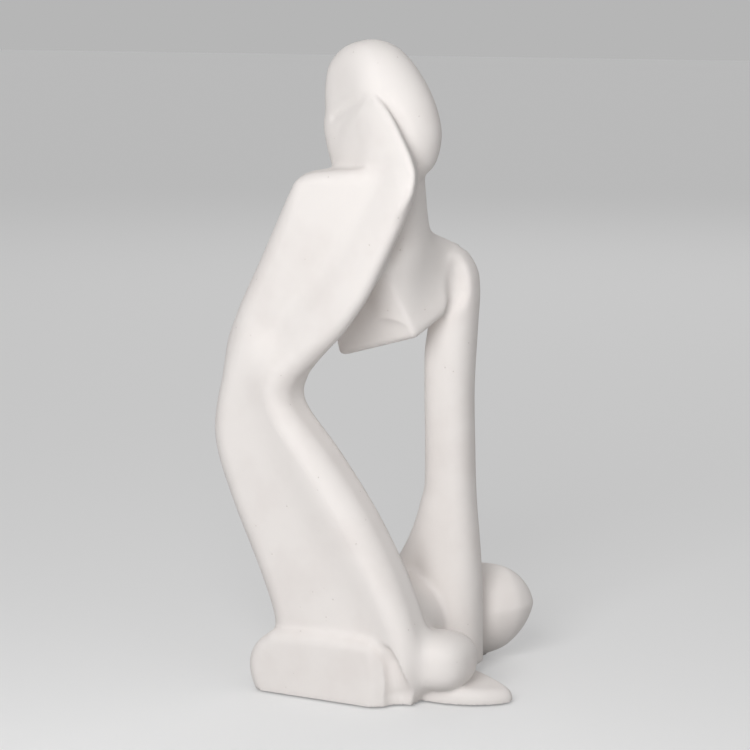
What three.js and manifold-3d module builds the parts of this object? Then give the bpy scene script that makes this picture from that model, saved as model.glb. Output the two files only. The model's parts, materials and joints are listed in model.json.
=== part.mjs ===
// Thinking figurine: an abstract seated figure, cast in sections, pinned and bonded.
// Millimetres. The figure faces -Y, its left side is +X, and it stands on Z = 0.
// Each limb is a smooth field, negative inside, made from outlines, sections and round cones.
// A casting is the net of its limbs' field, trimmed flat at its seams and bored for its pins.
import * as THREE from "three";
import { mergeVertices } from "three/addons/utils/BufferGeometryUtils.js";
import Module from "manifold-3d";

// Finish
const castWhite = 0xece6e1;
const castRoughness = 0.85;
const steelGrey = 0xa6a8ab;
const feltGrey = 0x6b6864;

// Seams, pins and pads
const bondGap = 0.3;
const pinDiameter = 4;
const pinDepth = 8;
const boreClearance = 0.3;
const padThickness = 1;
const padDiameter = 12;
const neckSeamHeight = 201;
const wristSeamHeight = neckSeamHeight + 6.5;
const kneeSeamHeight = 119;
const armBaseSeamHeight = 43.5;
const armTopHeight = 174.4;
const nearShoulderSeamX = -7.6;
const farShoulderSeamX = -39;
const hipSeamX = -9;
const hipPocketX = -22.6;
const hipPocketY = 8.9;
const footSeamEdgeX = 0.5;
const footSeamStart = { y: 5, z: 1 };
const footSeamEnd = { y: 40, z: 11 };

// Raised arm and raised leg: one slab, drawn from the figure's left as points of Y and Z
const slabOutline = [
  [-40, 16], [-41.5, 30], [-48, 47], [-58.5, 70], [-66, 90], [-68.2, 102], [-67.3, 112], [-65, 122],
  [-62, 132], [-53.4, 152.5], [-43.9, 171], [-34, 191], [-30, 198.5], [-27.2, 203], [-23, 205.2],
  [-16, 206.6], [2, 208.5], [14, 211], [22, 205], [22, 195.6], [17.2, 184.5], [11.6, 173.5],
  [3.6, 158.6], [-6.4, 145], [-14.2, 137.5], [-24, 130.2], [-30, 125], [-32.6, 119], [-29.8, 112],
  [-16.3, 96.5], [0.2, 74], [13, 51.5], [21.5, 31], [23.4, 20], [22, 10], [20.6, 2], [16, -4],
  [0, -4], [-30, 2],
];
const slabNearX = 13.6;
const slabFarX = -8;
const slabEdgeRadius = 8.5;
const armEdge = { lessBy: 2.5, fromHeight: 130, fullHeight: 160 };
const shoulderEdge = { lessBy: 2.5, fromHeight: 188, fullHeight: 200, reachY: 6 };
const armLean = { share: 0.45, fromHeight: 122, fullHeight: 142 };
const armValley = [[7, 206], [3, 199], [-6, 185], [-13, 176], [-21.7, 165.5], [-30, 155], [-39, 144]];
const armValleyDepth = 3;
const armValleyWidth = 8;
const thighRidge = [
  [-36, 122], [-31, 111.5], [-22.5, 94.5], [-11.4, 76.6], [0.5, 59.3], [11.8, 42.8], [20.5, 30.5],
  [22.5, 20], [21, 8], [20, -4],
];
const thighRidgeHeight = 3.2;
const thighRidgeWidth = 11.5;
const shinHollowDepth = 0.8;
const shinHollowHeight = 60;
const shinHollowReach = 30;

// Hand along the cheek, which thins towards its tip
const handOutline = [
  [-0.5, 237], [6.6, 232.6], [11.8, 227], [16.8, 219.8], [21.4, 212.4], [23.8, 206], [22.4, 198],
  [13.5, 189], [2, 188], [-12, 194], [-16, 206], [-15, 217], [-8, 230],
];
const handStartHeight = 202;
const handLength = 33;
const handTaper = 8.2;
const handFarX = -4;
const handEdgeRadius = 2.5;
const handCheek = { raisedBy: 0.5, blend: 5 };

// Head, drawn from the figure's left
const headOutline = [
  [-22.5, 203], [-24.7, 208], [-27.2, 214], [-29, 219.5], [-29.6, 223.5], [-28.9, 229], [-29.3, 234],
  [-28.9, 241], [-26.4, 247.5], [-18.5, 253.6], [-8, 256.3], [1, 254.2], [8, 248.5], [14.6, 239.5],
  [19, 230], [20.9, 221], [19.7, 212.5], [16, 206], [6, 200], [-10, 199],
];
const headCentreX = -12;
const headHalfWidth = 16.6;
const headRounding = 22;
const cheekPlane = { at: [-2.8, -16, 225], normal: [0.88, -0.46, 0.05], blend: 5 };
const earGap = [
  [5, 2.5, 236.4, 0.8], [3.2, 7.6, 234, 1.6], [2.4, 13.6, 227.4, 2.2], [2, 18.6, 218.6, 2.9],
  [1, 21.2, 210, 3.8], [0, 22, 202, 5],
];

// Torso, drawn from the front as points of X and Z
const torsoOutline = [
  [-6, 178], [-3, 170], [-3, 157], [-5, 141], [-12, 124], [-24, 117], [-35, 124], [-42, 143],
  [-45, 160], [-47, 170], [-42, 177], [-30, 181], [-18, 182],
];
const torsoFrontY = -31;
const torsoBackY = 26;
const torsoEdgeRadius = 11;
const torsoCorner = { x: -35, height: 146 };
const torsoPlanes = [
  { at: [-14, 5.6, 159], normal: [0.4, 0.9, 0.17], blend: 5 },
  { at: [-10, 3.8, 159], normal: [0.925, -0.166, -0.341], blend: 2.2 },
  { at: [-24, -21, 164], normal: [0, -0.84, 0.54], blend: 8 },
  { at: [-16, 10, 140.3], normal: [-0.343, 0.35, -0.872], blend: 4 },
];
const shoulderFold = [
  [-36.3, 17.4, 172, 0.8], [-36.4, 17.6, 167, 2.6], [-36.4, 17.7, 162, 3.6], [-36.4, 17.8, 157.3, 3.8],
  [-36.2, 17.2, 153.8, 3], [-35, 14.8, 150, 1.4],
];

// Neck, straight arm: height, centre X, centre Y, half width, half depth
const neckSections = [
  [150, -25, -1, 9, 6], [160, -25, 0, 15, 9], [168, -24, 1.5, 18, 9.5], [174, -22.5, 3, 16, 9],
  [180, -19.5, 3.4, 12, 8.6], [188, -17, 4, 9.6, 8.4], [neckSeamHeight - 3, -16, 4, 8.4, 8.2],
  [neckSeamHeight + 11, -15.5, 3, 8, 8.2],
];
const straightArmSections = [
  [0, -46, 11.5, 11, 12], [20, -46, 11.5, 10.8, 12], [40, -46.2, 11, 10.5, 12],
  [55, -46.5, 10.4, 10, 11.4], [70, -46.5, 10, 9.6, 10.4], [95, -46.3, 9.7, 9.3, 9.8],
  [120, -45.8, 9.6, 9.4, 9.8], [133, -45.5, 10.2, 9.6, 10], [145, -45.4, 11.6, 9.4, 9.4],
  [158, -45.4, 13.2, 8.9, 8.4], [165, -44.6, 13, 8.6, 8], [170, -43.5, 12, 7.4, 6.8],
  [173, -43, 11.8, 4.8, 4.4], [armTopHeight, -43, 11.8, 1.5, 1.5],
];
const flare = { top: [-46.5, 4, 66], bottom: [-48, -12, 37], radii: [4.5, 6], blend: 10 };

// Folded leg and its foot, drawn from above as points of X and Y
const foldedLegOutline = [
  [-87, 12], [-84.5, 26], [-76, 34], [-66, 33.5], [-60, 27], [-56, 18], [-46, 14], [-30, 14],
  [-14, 16], [2, 13], [6, -4], [-4, -18], [-24, -23], [-48, -25], [-66, -20], [-81, -6],
];
const foldedLegTop = 40.5;
const foldedLegEdgeRadius = 19;
const underside = { height: 0.5, rise: 0.4, riseStartY: 13 };
const rearFootOutline = [
  [0, 6], [0.5, 21], [-0.5, 34], [-4.5, 44], [-10.8, 50.8], [-16.5, 52], [-22.5, 46], [-30, 33],
  [-34, 20], [-32, 6], [-14, 0],
];
const rearFootHeight = 7.4;
const rearFootSlope = 0.08;
const rearFootSlopeStart = 32;
const rearFootEdgeRadius = 4;

// Hip, planted foot and the hollow between them
const hip = { centre: [-6.5, 24.3, 16.2], radii: [14.5, 14.3, 11], squareness: 2.7, blend: 5.5 };
const plantedFootOutline = [
  [-43, -3], [-46.6, 1.5], [-48.8, 8], [-48.5, 14], [-46, 19], [-41.8, 22.8], [-36, 25.8],
  [-20, 27], [4, 27], [8.5, 25.2], [11, 20.5], [12, 12], [11.6, 4], [10.5, -3], [0, -5], [-30, -5],
];
const plantedFootNearX = 18;
const plantedFootFarX = -6.5;
const plantedFootEdgeRadius = 5.5;
const footArch = [
  [18, 2, 28, 1], [17.2, 8.4, 26, 2], [15.8, 12.8, 22.4, 2.8], [14.6, 15, 18, 3.4],
  [14.2, 16.4, 12, 4], [15, 18.6, 5, 6.4], [16.4, 20, -4, 8.6],
];

// Middle of the figurine's box, which is moved to the origin
const middle = { x: -34.6, y: -7.8 };

// Net cell of each casting
const headCell = 3.2;
const torsoCell = 3.5;
const armCell = 4.1;
const legCell = 4.2;

// Field building
const roomBelowGround = 6;
const farAway = 400;

const clamp = THREE.MathUtils.clamp;

// Closed or open smooth line through the points, as [u, v] pairs.
function smoothLine(points, closed) {
  const curve = new THREE.CatmullRomCurve3(
    points.map(([u, v]) => new THREE.Vector3(u, v, 0)), closed, "catmullrom", 0.5);
  const stepsPerPoint = 5;
  return curve.getPoints(points.length * stepsPerPoint).map((p) => [p.x, p.y]);
}

// Squared distance from (u, v) to the stretch a-b.
function squaredDistanceToStretch(u, v, a, b) {
  const eu = b[0] - a[0];
  const ev = b[1] - a[1];
  const length2 = Math.max(eu * eu + ev * ev, 1e-9);
  const t = clamp(((u - a[0]) * eu + (v - a[1]) * ev) / length2, 0, 1);
  return (u - a[0] - eu * t) ** 2 + (v - a[1] - ev * t) ** 2;
}

// Distance to an open line.
function lineDistance(line) {
  return (u, v) => {
    let best = Infinity;
    for (let i = 0; i + 1 < line.length; i++) {
      best = Math.min(best, squaredDistanceToStretch(u, v, line[i], line[i + 1]));
    }
    return Math.sqrt(best);
  };
}

// Distance to a closed outline, negative inside it.
function outlineDistance(outline) {
  return (u, v) => {
    let best = Infinity;
    let inside = false;
    for (let i = 0; i + 1 < outline.length; i++) {
      const a = outline[i];
      const b = outline[i + 1];
      best = Math.min(best, squaredDistanceToStretch(u, v, a, b));
      if ((a[1] > v) !== (b[1] > v) && u < a[0] + ((b[0] - a[0]) * (v - a[1])) / (b[1] - a[1])) {
        inside = !inside;
      }
    }
    return inside ? -Math.sqrt(best) : Math.sqrt(best);
  };
}

// Lowest and highest value in one column of a list of points.
function spanOf(points, column) {
  const values = points.map((point) => point[column]);
  return [Math.min(...values), Math.max(...values)];
}

// Values of a station table between its rows, smooth across them.
function between(rows, column, z) {
  const last = rows.length - 1;
  const zc = clamp(z, rows[0][0], rows[last][0]);
  let i = 0;
  while (i < last - 1 && zc >= rows[i + 1][0]) {
    i += 1;
  }
  const slope = (k) => {
    const low = Math.max(k - 1, 0);
    const high = Math.min(k + 1, last);
    return (rows[high][column] - rows[low][column]) / (rows[high][0] - rows[low][0]);
  };
  const span = rows[i + 1][0] - rows[i][0];
  const t = (zc - rows[i][0]) / span;
  const t2 = t * t;
  const t3 = t2 * t;
  return (2 * t3 - 3 * t2 + 1) * rows[i][column] + (t3 - 2 * t2 + t) * span * slope(i)
    + (3 * t2 - 2 * t3) * rows[i + 1][column] + (t3 - t2) * span * slope(i + 1);
}

// Joins two fields with a fillet about as wide as blend.
function joined(a, b, blend) {
  const h = clamp(0.5 + (0.5 * (b - a)) / blend, 0, 1);
  return b + (a - b) * h - blend * h * (1 - h);
}

// Keeps what both fields hold, with a rounded edge.
function common(a, b, blend) {
  return -joined(-a, -b, blend);
}

// Round-edged slab from an outline's distance and the distance past its two faces.
function slab(flat, across, edge) {
  const a = flat + edge;
  const b = across + edge;
  return Math.min(Math.max(a, b), 0) + Math.hypot(Math.max(a, 0), Math.max(b, 0)) - edge;
}

// Outline filled out like an egg; across is the share of the half thickness.
function egg(flat, across, radius) {
  const t = Math.max(0, 1 + flat / radius);
  return (Math.hypot(t, across) - 1) * radius * 0.8;
}

// Soft rise of height 1 at distance 0.
function rise(distance, width) {
  return Math.exp(-((distance / width) ** 2));
}

// 0 below low, 1 above high, soft between them.
function softStep(value, low, high) {
  return THREE.MathUtils.smoothstep(value, low, high);
}

// Rounded section at height z from a station table.
function sections(rows, x, y, z) {
  const [centreX, centreY, halfX, halfY] = [1, 2, 3, 4].map((column) => between(rows, column, z));
  const roundness = 2.4;
  const wide = Math.abs((x - centreX) / halfX) ** roundness;
  const deep = Math.abs((y - centreY) / halfY) ** roundness;
  const share = (wide + deep) ** (1 / roundness);
  const ends = Math.max(rows[0][0] - z, z - rows[rows.length - 1][0]);
  return Math.max((share - 1) * Math.min(halfX, halfY), ends);
}

// Ball swept from a to b while its radius changes.
function cone([x, y, z], a, b, radii) {
  const [ex, ey, ez] = [b[0] - a[0], b[1] - a[1], b[2] - a[2]];
  const [wx, wy, wz] = [x - a[0], y - a[1], z - a[2]];
  const t = clamp((wx * ex + wy * ey + wz * ez) / (ex * ex + ey * ey + ez * ez), 0, 1);
  const radius = radii[0] + (radii[1] - radii[0]) * t;
  return Math.hypot(wx - ex * t, wy - ey * t, wz - ez * t) - radius;
}

// Ball swept along a chain of stations, each a place and a radius.
function swept(p, stations) {
  const stretches = stations.slice(1).map((b, i) => cone(p, stations[i], b, [stations[i][3], b[3]]));
  return Math.min(...stretches);
}

// Distance past a plane.
function past(plane, [x, y, z]) {
  const [nx, ny, nz] = plane.normal;
  const [ax, ay, az] = plane.at;
  return ((x - ax) * nx + (y - ay) * ny + (z - az) * nz) / Math.hypot(nx, ny, nz);
}

// Limbs
const slabDistance = outlineDistance(smoothLine(slabOutline, true));
const valleyDistance = lineDistance(smoothLine(armValley, false));
const thighDistance = lineDistance(smoothLine(thighRidge, false));
const handDistance = outlineDistance(smoothLine(handOutline, true));
const headDistance = outlineDistance(smoothLine(headOutline, true));
const torsoDistance = outlineDistance(smoothLine(torsoOutline, true));
const foldedLegDistance = outlineDistance(smoothLine(foldedLegOutline, true));
const rearFootDistance = outlineDistance(smoothLine(rearFootOutline, true));
const plantedFootDistance = outlineDistance(smoothLine(plantedFootOutline, true));

// Near face of leg, arm and hand.
function nearSide(y, z) {
  return slabNearX - armValleyDepth * rise(valleyDistance(y, z), armValleyWidth)
    + thighRidgeHeight * rise(thighDistance(y, z), thighRidgeWidth)
    - shinHollowDepth * rise(z - shinHollowHeight, shinHollowReach)
    - handTaper * clamp((z - handStartHeight) / handLength, 0, 1);
}

// Distance to an outline that moves towards -Y behind the near face of the arm.
function leaning(distance, near, x, y, z) {
  const lean = armLean.share * softStep(z, armLean.fromHeight, armLean.fullHeight);
  return distance(y + lean * (near - x), z);
}

// The edge is tighter on the arm, and tightest at the top of the shoulder.
function raisedSlab(x, y, z) {
  const near = nearSide(y, z);
  const { fromHeight, fullHeight, lessBy, reachY } = shoulderEdge;
  const edge = slabEdgeRadius
    - armEdge.lessBy * softStep(z, armEdge.fromHeight, armEdge.fullHeight)
    - lessBy * softStep(z, fromHeight, fullHeight) * softStep(-y, -reachY, reachY);
  return slab(leaning(slabDistance, near, x, y, z), Math.max(x - near, slabFarX - x), edge);
}

function hand(x, y, z) {
  const near = nearSide(y, z);
  const across = Math.max(x - near, handFarX - x);
  return slab(leaning(handDistance, near, x, y, z), across, handEdgeRadius);
}

function neck(x, y, z) {
  return sections(neckSections, x, y, z);
}

// Head, hand and what of the arm and the neck reaches up to them
function headWithHand(x, y, z) {
  const p = [x, y, z];
  const gapBlend = 2;
  const handBlend = 1.2;
  const armBlend = 2.5;
  const cheek = past(cheekPlane, p);
  const whole = egg(headDistance(y, z), (x - headCentreX) / headHalfWidth, headRounding);
  const skull = common(common(whole, cheek, cheekPlane.blend), -swept(p, earGap), gapBlend);
  const palm = common(hand(x, y, z), cheek - handCheek.raisedBy, handCheek.blend);
  const head = joined(skull, palm, handBlend);
  return joined(joined(head, raisedSlab(x, y, z), armBlend), neck(x, y, z), armBlend);
}

function raisedArm(x, y, z) {
  const handBlend = 2.5;
  return joined(raisedSlab(x, y, z), hand(x, y, z), handBlend);
}

function torso(x, y, z) {
  const p = [x, y, z];
  const neckBlend = 6;
  const middleY = (torsoFrontY + torsoBackY) / 2;
  const across = Math.abs(y - middleY) - (torsoBackY - torsoFrontY) / 2;
  const bust = torsoPlanes.reduce(
    (body, plane) => common(body, past(plane, p), plane.blend),
    slab(torsoDistance(x, z), across, torsoEdgeRadius));
  return joined(bust, neck(x, y, z), neckBlend);
}

// Depth below the underside of the folded leg, which rises a little at the back.
function belowUnderside(y, z) {
  return underside.height + underside.rise * Math.max(y - underside.riseStartY, 0) - z;
}

function straightArm(x, y, z) {
  const arm = sections(straightArmSections, x, y, z);
  const whole = joined(arm, cone([x, y, z], flare.top, flare.bottom, flare.radii), flare.blend);
  return Math.max(whole, belowUnderside(y, z));
}

// Torso and straight arm run into each other at the right shoulder, with a fold between them.
function torsoAndArm(x, y, z) {
  const shoulderBlend = 3;
  const foldBlend = 3;
  const both = joined(torso(x, y, z), straightArm(x, y, z), shoulderBlend);
  return common(both, -swept([x, y, z], shoulderFold), foldBlend);
}

function hipBall(p) {
  const { centre, radii, squareness } = hip;
  const shares = p.map((value, n) => Math.abs((value - centre[n]) / radii[n]) ** squareness);
  return ((shares[0] + shares[1] + shares[2]) ** (1 / squareness) - 1) * Math.min(...radii);
}

function raisedLeg(x, y, z) {
  const p = [x, y, z];
  const footBlend = 2;
  const archBlend = 1;
  const across = Math.max(x - plantedFootNearX, plantedFootFarX - x);
  const foot = slab(plantedFootDistance(y, z), across, plantedFootEdgeRadius);
  const shin = joined(raisedSlab(x, y, z), foot, footBlend);
  return joined(common(shin, -swept(p, footArch), archBlend), hipBall(p), hip.blend);
}

function foldedThigh(x, y, z) {
  const armBlend = 3;
  const across = Math.max(z - foldedLegTop, belowUnderside(y, z));
  const leg = slab(foldedLegDistance(x, y), across, foldedLegEdgeRadius);
  return joined(leg, straightArm(x, y, z), armBlend);
}

function rearFoot(x, y, z) {
  const top = rearFootHeight - rearFootSlope * Math.max(y - rearFootSlopeStart, 0);
  return slab(rearFootDistance(x, y), Math.max(z - top, -roomBelowGround - z), rearFootEdgeRadius);
}

// Solids
const wasm = await Module();
wasm.setup();

function solidFromGeometry(source) {
  source.deleteAttribute("normal");
  source.deleteAttribute("uv");
  const geometry = mergeVertices(source, 1e-5);
  return new wasm.Manifold(new wasm.Mesh({
    numProp: 3,
    vertProperties: new Float32Array(geometry.attributes.position.array),
    triVerts: new Uint32Array(geometry.index.array),
  }));
}

// Block between two opposite corners.
function block(low, high) {
  const size = low.map((value, i) => high[i] - value);
  const geometry = new THREE.BoxGeometry(...size);
  geometry.translate(...low.map((value, i) => value + size[i] / 2));
  return solidFromGeometry(geometry);
}

// Visits the samples of a grid, or its cells by their lowest corners.
function forEachIn(count, step, visit) {
  for (let i = 0; i < count[0]; i++) {
    for (let j = 0; j < count[1]; j++) {
      for (let k = 0; k < count[2]; k++) {
        visit([i, j, k], i * step[0] + j * step[1] + k * step[2]);
      }
    }
  }
}

// Fills in the outer corner nearest the surface wherever inner and outer corners alternate round
// a cell's face, because the net would touch itself there.
function settleFaces(values, count, step) {
  const leastDepth = 0.01;
  let settled = false;
  while (!settled) {
    settled = true;
    for (let n = 0; n < 3; n++) {
      const u = step[(n + 1) % 3];
      const v = step[(n + 2) % 3];
      const faces = count.map((samples, axis) => (axis === n ? samples : samples - 1));
      forEachIn(faces, step, (sample, here) => {
        const inside = [here, here + u, here + u + v, here + v].filter((corner) => values[corner] < 0);
        const diagonal = inside.length === 2 && inside[0] + inside[1] === 2 * here + u + v;
        if (diagonal) {
          const startsHere = inside[0] === here || inside[1] === here;
          const outer = startsHere ? [here + u, here + v] : [here, here + u + v];
          const [nearest] = outer.sort((a, b) => values[a] - values[b]);
          values[nearest] = Math.min(-values[nearest], -leastDepth);
          settled = false;
        }
      });
    }
  }
}

// Net over a field: one point in each cell that the surface crosses, one face on each crossed edge.
// The room is the limb's span along X, Y and Z and two cells more on every side. Its rim counts as
// outside, so a limb that runs on is closed there.
function netOf(field, room, cell) {
  const low = room.map((span) => span[0] - 2 * cell);
  const count = room.map((span) => Math.ceil((span[1] - span[0]) / cell) + 5);
  const step = [count[1] * count[2], count[2], 1];
  const values = new Float64Array(count[0] * step[0]);
  forEachIn(count, step, (sample, here) => {
    const rim = sample.some((index, n) => index === 0 || index === count[n] - 1);
    const value = field(...sample.map((index, n) => low[n] + index * cell));
    values[here] = rim ? Math.max(value, cell / 2) : value;
  });
  settleFaces(values, count, step);

  const corners = [0, 1, 2, 3, 4, 5, 6, 7].map((n) => [n & 1, (n >> 1) & 1, (n >> 2) & 1]);
  const edges = corners.flatMap((a, i) => corners.slice(i + 1)
    .filter((b) => a.filter((value, n) => value !== b[n]).length === 1)
    .map((b) => [a, b]));
  const cells = count.map((samples) => samples - 1);
  const points = [];
  const pointOf = new Map();
  forEachIn(cells, step, (sample, here) => {
    const valueAt = (corner) => values[here + corner.reduce((rest, c, n) => rest + c * step[n], 0)];
    const sum = [0, 0, 0];
    let crossings = 0;
    for (const [a, b] of edges) {
      const va = valueAt(a);
      const vb = valueAt(b);
      if ((va < 0) !== (vb < 0)) {
        const t = va / (va - vb);
        for (let n = 0; n < 3; n++) {
          sum[n] += a[n] + (b[n] - a[n]) * t;
        }
        crossings += 1;
      }
    }
    if (crossings > 0) {
      pointOf.set(here, points.length / 3);
      points.push(...sum.map((total, n) => low[n] + (sample[n] + total / crossings) * cell));
    }
  });

  const faces = [];
  forEachIn(cells, step, (sample, here) => {
    for (let n = 0; n < 3; n++) {
      const inside = values[here] < 0;
      if (inside !== (values[here + step[n]] < 0)) {
        const u = step[(n + 1) % 3];
        const v = step[(n + 2) % 3];
        const ring = [here - u - v, here - v, here, here - u].map((index) => pointOf.get(index));
        const [a, b, c, d] = inside ? ring : ring.reverse();
        faces.push(a, b, c, a, c, d);
      }
    }
  });
  const geometry = new THREE.BufferGeometry();
  geometry.setAttribute("position", new THREE.Float32BufferAttribute(points, 3));
  geometry.setIndex(faces);
  return solidFromGeometry(geometry);
}

// Everything on one side of an upright or level plane.
const below = (height) => block([-farAway, -farAway, -farAway], [farAway, farAway, height]);
const above = (height) => block([-farAway, -farAway, height], [farAway, farAway, farAway]);
const rightOf = (x) => block([-farAway, -farAway, -farAway], [x, farAway, farAway]);
const leftOf = (x) => block([x, -farAway, -farAway], [farAway, farAway, farAway]);

// Half the bond gap lies on each side of a seam.
const half = bondGap / 2;

// Wedge under the sloping seam between the hip and the rear foot, grown by a little on its upper side.
function underFootSeam(grow, nearX) {
  const slopeAngle = Math.atan2(footSeamEnd.z - footSeamStart.z, footSeamEnd.y - footSeamStart.y);
  const geometry = new THREE.BoxGeometry(farAway, farAway, farAway);
  geometry.translate(nearX - farAway / 2, 0, -farAway / 2 + grow);
  geometry.rotateX(slopeAngle);
  geometry.translate(0, footSeamStart.y, footSeamStart.z);
  return solidFromGeometry(geometry);
}

// Pins: where each crosses its seam, and the way it points
const X_AXIS = new THREE.Vector3(1, 0, 0);
const Z_AXIS = new THREE.Vector3(0, 0, 1);
const pins = [
  { name: "neck_pin", at: [-16, 4, neckSeamHeight], along: Z_AXIS },
  { name: "wrist_pin", at: [2, 3, wristSeamHeight], along: Z_AXIS },
  { name: "left_shoulder_pin", at: [nearShoulderSeamX, -4, neckSeamHeight - 27], along: X_AXIS },
  { name: "right_shoulder_pin", at: [farShoulderSeamX, 9, armTopHeight - 13.4], along: X_AXIS },
  { name: "knee_pin_front", at: [3, -56, kneeSeamHeight], along: Z_AXIS },
  { name: "knee_pin_rear", at: [3, -42, kneeSeamHeight], along: Z_AXIS },
  { name: "hip_pin_front", at: [hipSeamX, -12, 20], along: X_AXIS },
  { name: "hip_pin_rear", at: [hipSeamX, 2, 20], along: X_AXIS },
  { name: "arm_base_pin", at: [-47, 8, armBaseSeamHeight], along: Z_AXIS },
];

function pinGeometry(pin, radius, depth) {
  const sides = 14;
  const geometry = new THREE.CylinderGeometry(radius, radius, 2 * depth, sides);
  const turn = new THREE.Quaternion().setFromUnitVectors(new THREE.Vector3(0, 1, 0), pin.along);
  geometry.applyQuaternion(turn);
  geometry.translate(...pin.at);
  return geometry;
}

function bored(solid) {
  const boreRadius = pinDiameter / 2 + boreClearance;
  return pins.reduce(
    (rest, pin) => rest.subtract(solidFromGeometry(pinGeometry(pin, boreRadius, pinDepth + boreClearance))),
    solid);
}

// Castings
const ground = below(padThickness);

function headCasting() {
  const room = [
    [headCentreX - headHalfWidth, slabNearX],
    spanOf(headOutline, 0),
    [neckSeamHeight, spanOf(headOutline, 1)[1]],
  ];
  const armSideX = slabFarX - bondGap;
  const armTop = block([armSideX, -farAway, -farAway], [farAway, farAway, wristSeamHeight + half]);
  const neckTop = block([-farAway, -farAway, -farAway], [armSideX, farAway, neckSeamHeight + half]);
  return netOf(headWithHand, room, headCell).subtract(neckTop).subtract(armTop);
}

// The arm takes what lies on the right of the shoulder seam, and low down a little more.
function torsoCasting() {
  const room = [
    [farShoulderSeamX, nearShoulderSeamX],
    [torsoFrontY, torsoBackY],
    [spanOf(torsoOutline, 1)[0], neckSeamHeight],
  ];
  const lowCorner = [torsoCorner.x + half, farAway, torsoCorner.height + half];
  return netOf(torsoAndArm, room, torsoCell)
    .subtract(above(neckSeamHeight - half))
    .subtract(leftOf(nearShoulderSeamX - half))
    .subtract(rightOf(farShoulderSeamX + half))
    .subtract(block([-farAway, -farAway, -farAway], lowCorner));
}

function raisedArmCasting() {
  const room = [[slabFarX, slabNearX], spanOf(slabOutline, 0), [kneeSeamHeight, wristSeamHeight]];
  return netOf(raisedArm, room, armCell)
    .subtract(below(kneeSeamHeight + half))
    .subtract(above(wristSeamHeight - half))
    .subtract(rightOf(nearShoulderSeamX + half));
}

function straightArmCasting() {
  const [, x, y, halfWidth, halfDepth] = straightArmSections[0];
  const room = [
    [x - halfWidth, torsoCorner.x],
    [torsoFrontY, y + halfDepth],
    [armBaseSeamHeight, armTopHeight],
  ];
  const highCorner = [farShoulderSeamX - half, -farAway, torsoCorner.height - half];
  return netOf(torsoAndArm, room, armCell)
    .subtract(below(armBaseSeamHeight + half))
    .subtract(block(highCorner, [farAway, farAway, farAway]))
    .subtract(leftOf(torsoCorner.x - half));
}

function raisedLegCasting() {
  const room = [
    [hip.centre[0] - hip.radii[0], plantedFootNearX],
    [spanOf(slabOutline, 0)[0], hip.centre[1] + hip.radii[1]],
    [0, kneeSeamHeight],
  ];
  const foldedSide = block([-farAway, -farAway, -farAway], [hipSeamX + half, hipPocketY, farAway]);
  return netOf(raisedLeg, room, legCell)
    .subtract(above(kneeSeamHeight - half))
    .subtract(ground)
    .subtract(foldedSide)
    .subtract(underFootSeam(half, footSeamEdgeX + half));
}

function foldedLegCasting() {
  const thighRoom = [spanOf(foldedLegOutline, 0), spanOf(foldedLegOutline, 1), [0, armBaseSeamHeight]];
  const footRoom = [spanOf(rearFootOutline, 0), spanOf(rearFootOutline, 1), [0, rearFootHeight]];
  const hipSide = block([hipPocketX, hipPocketY - bondGap, -farAway], [farAway, farAway, farAway])
    .subtract(underFootSeam(-half, farAway));
  const thigh = netOf(foldedThigh, thighRoom, legCell)
    .subtract(above(armBaseSeamHeight - half))
    .subtract(leftOf(hipSeamX - half))
    .subtract(hipSide);
  const footSide = underFootSeam(-half, footSeamEdgeX - half).add(rightOf(hipPocketX - bondGap));
  const foot = netOf(rearFoot, footRoom, legCell).intersect(footSide);
  return thigh.add(foot).subtract(ground);
}

// The object
const figurine = new THREE.Group();

function material(color, roughness, metalness) {
  return new THREE.MeshStandardMaterial({ color, roughness, metalness });
}

const castMaterial = material(castWhite, castRoughness, 0);
const steelMaterial = material(steelGrey, 0.35, 1);
const feltMaterial = material(feltGrey, 0.95, 0);

function addMesh(name, geometry, finish) {
  geometry.translate(-middle.x, -middle.y, 0);
  const mesh = new THREE.Mesh(geometry, finish);
  mesh.name = name;
  figurine.add(mesh);
}

// Mesh of a solid. The short edges that a cut leaves behind are closed up, and faces folded
// flat onto each other by that cancel out.
function geometryOf(solid) {
  const shortestEdge = 0.02;
  const { vertProperties, triVerts } = solid.getMesh();
  const cut = new THREE.BufferGeometry();
  cut.setAttribute("position", new THREE.Float32BufferAttribute(vertProperties, 3));
  cut.setIndex(Array.from(triVerts));
  const geometry = mergeVertices(cut, shortestEdge);
  const corners = Array.from(geometry.index.array);
  const faces = new Map();
  for (let i = 0; i < corners.length; i += 3) {
    const face = corners.slice(i, i + 3);
    const key = [...face].sort((a, b) => a - b).join(" ");
    if (faces.has(key)) {
      faces.delete(key);
    } else if (new Set(face).size === 3) {
      faces.set(key, face);
    }
  }
  geometry.setIndex([...faces.values()].flat());
  geometry.computeVertexNormals();
  return geometry;
}

const castings = {
  head_with_hand: headCasting(),
  torso: torsoCasting(),
  raised_arm: raisedArmCasting(),
  straight_arm: straightArmCasting(),
  raised_leg: raisedLegCasting(),
  folded_leg: foldedLegCasting(),
};
for (const [name, solid] of Object.entries(castings)) {
  addMesh(name, geometryOf(bored(solid)), castMaterial);
}

for (const pin of pins) {
  addMesh(pin.name, pinGeometry(pin, pinDiameter / 2, pinDepth), steelMaterial);
}

// Felt pads under the castings that stand on the table
const pads = {
  pad_toe: [6, -36],
  pad_heel: [6, 3],
  pad_rear_foot: [-14, 38],
  pad_folded_knee: [-64, 2],
  pad_folded_thigh: [-38, -5],
};
for (const [name, [x, y]] of Object.entries(pads)) {
  const sides = 20;
  const geometry = new THREE.CylinderGeometry(padDiameter / 2, padDiameter / 2, padThickness, sides);
  geometry.rotateX(Math.PI / 2);
  geometry.translate(x, y, padThickness / 2);
  addMesh(name, geometry, feltMaterial);
}

export default figurine;
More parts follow.
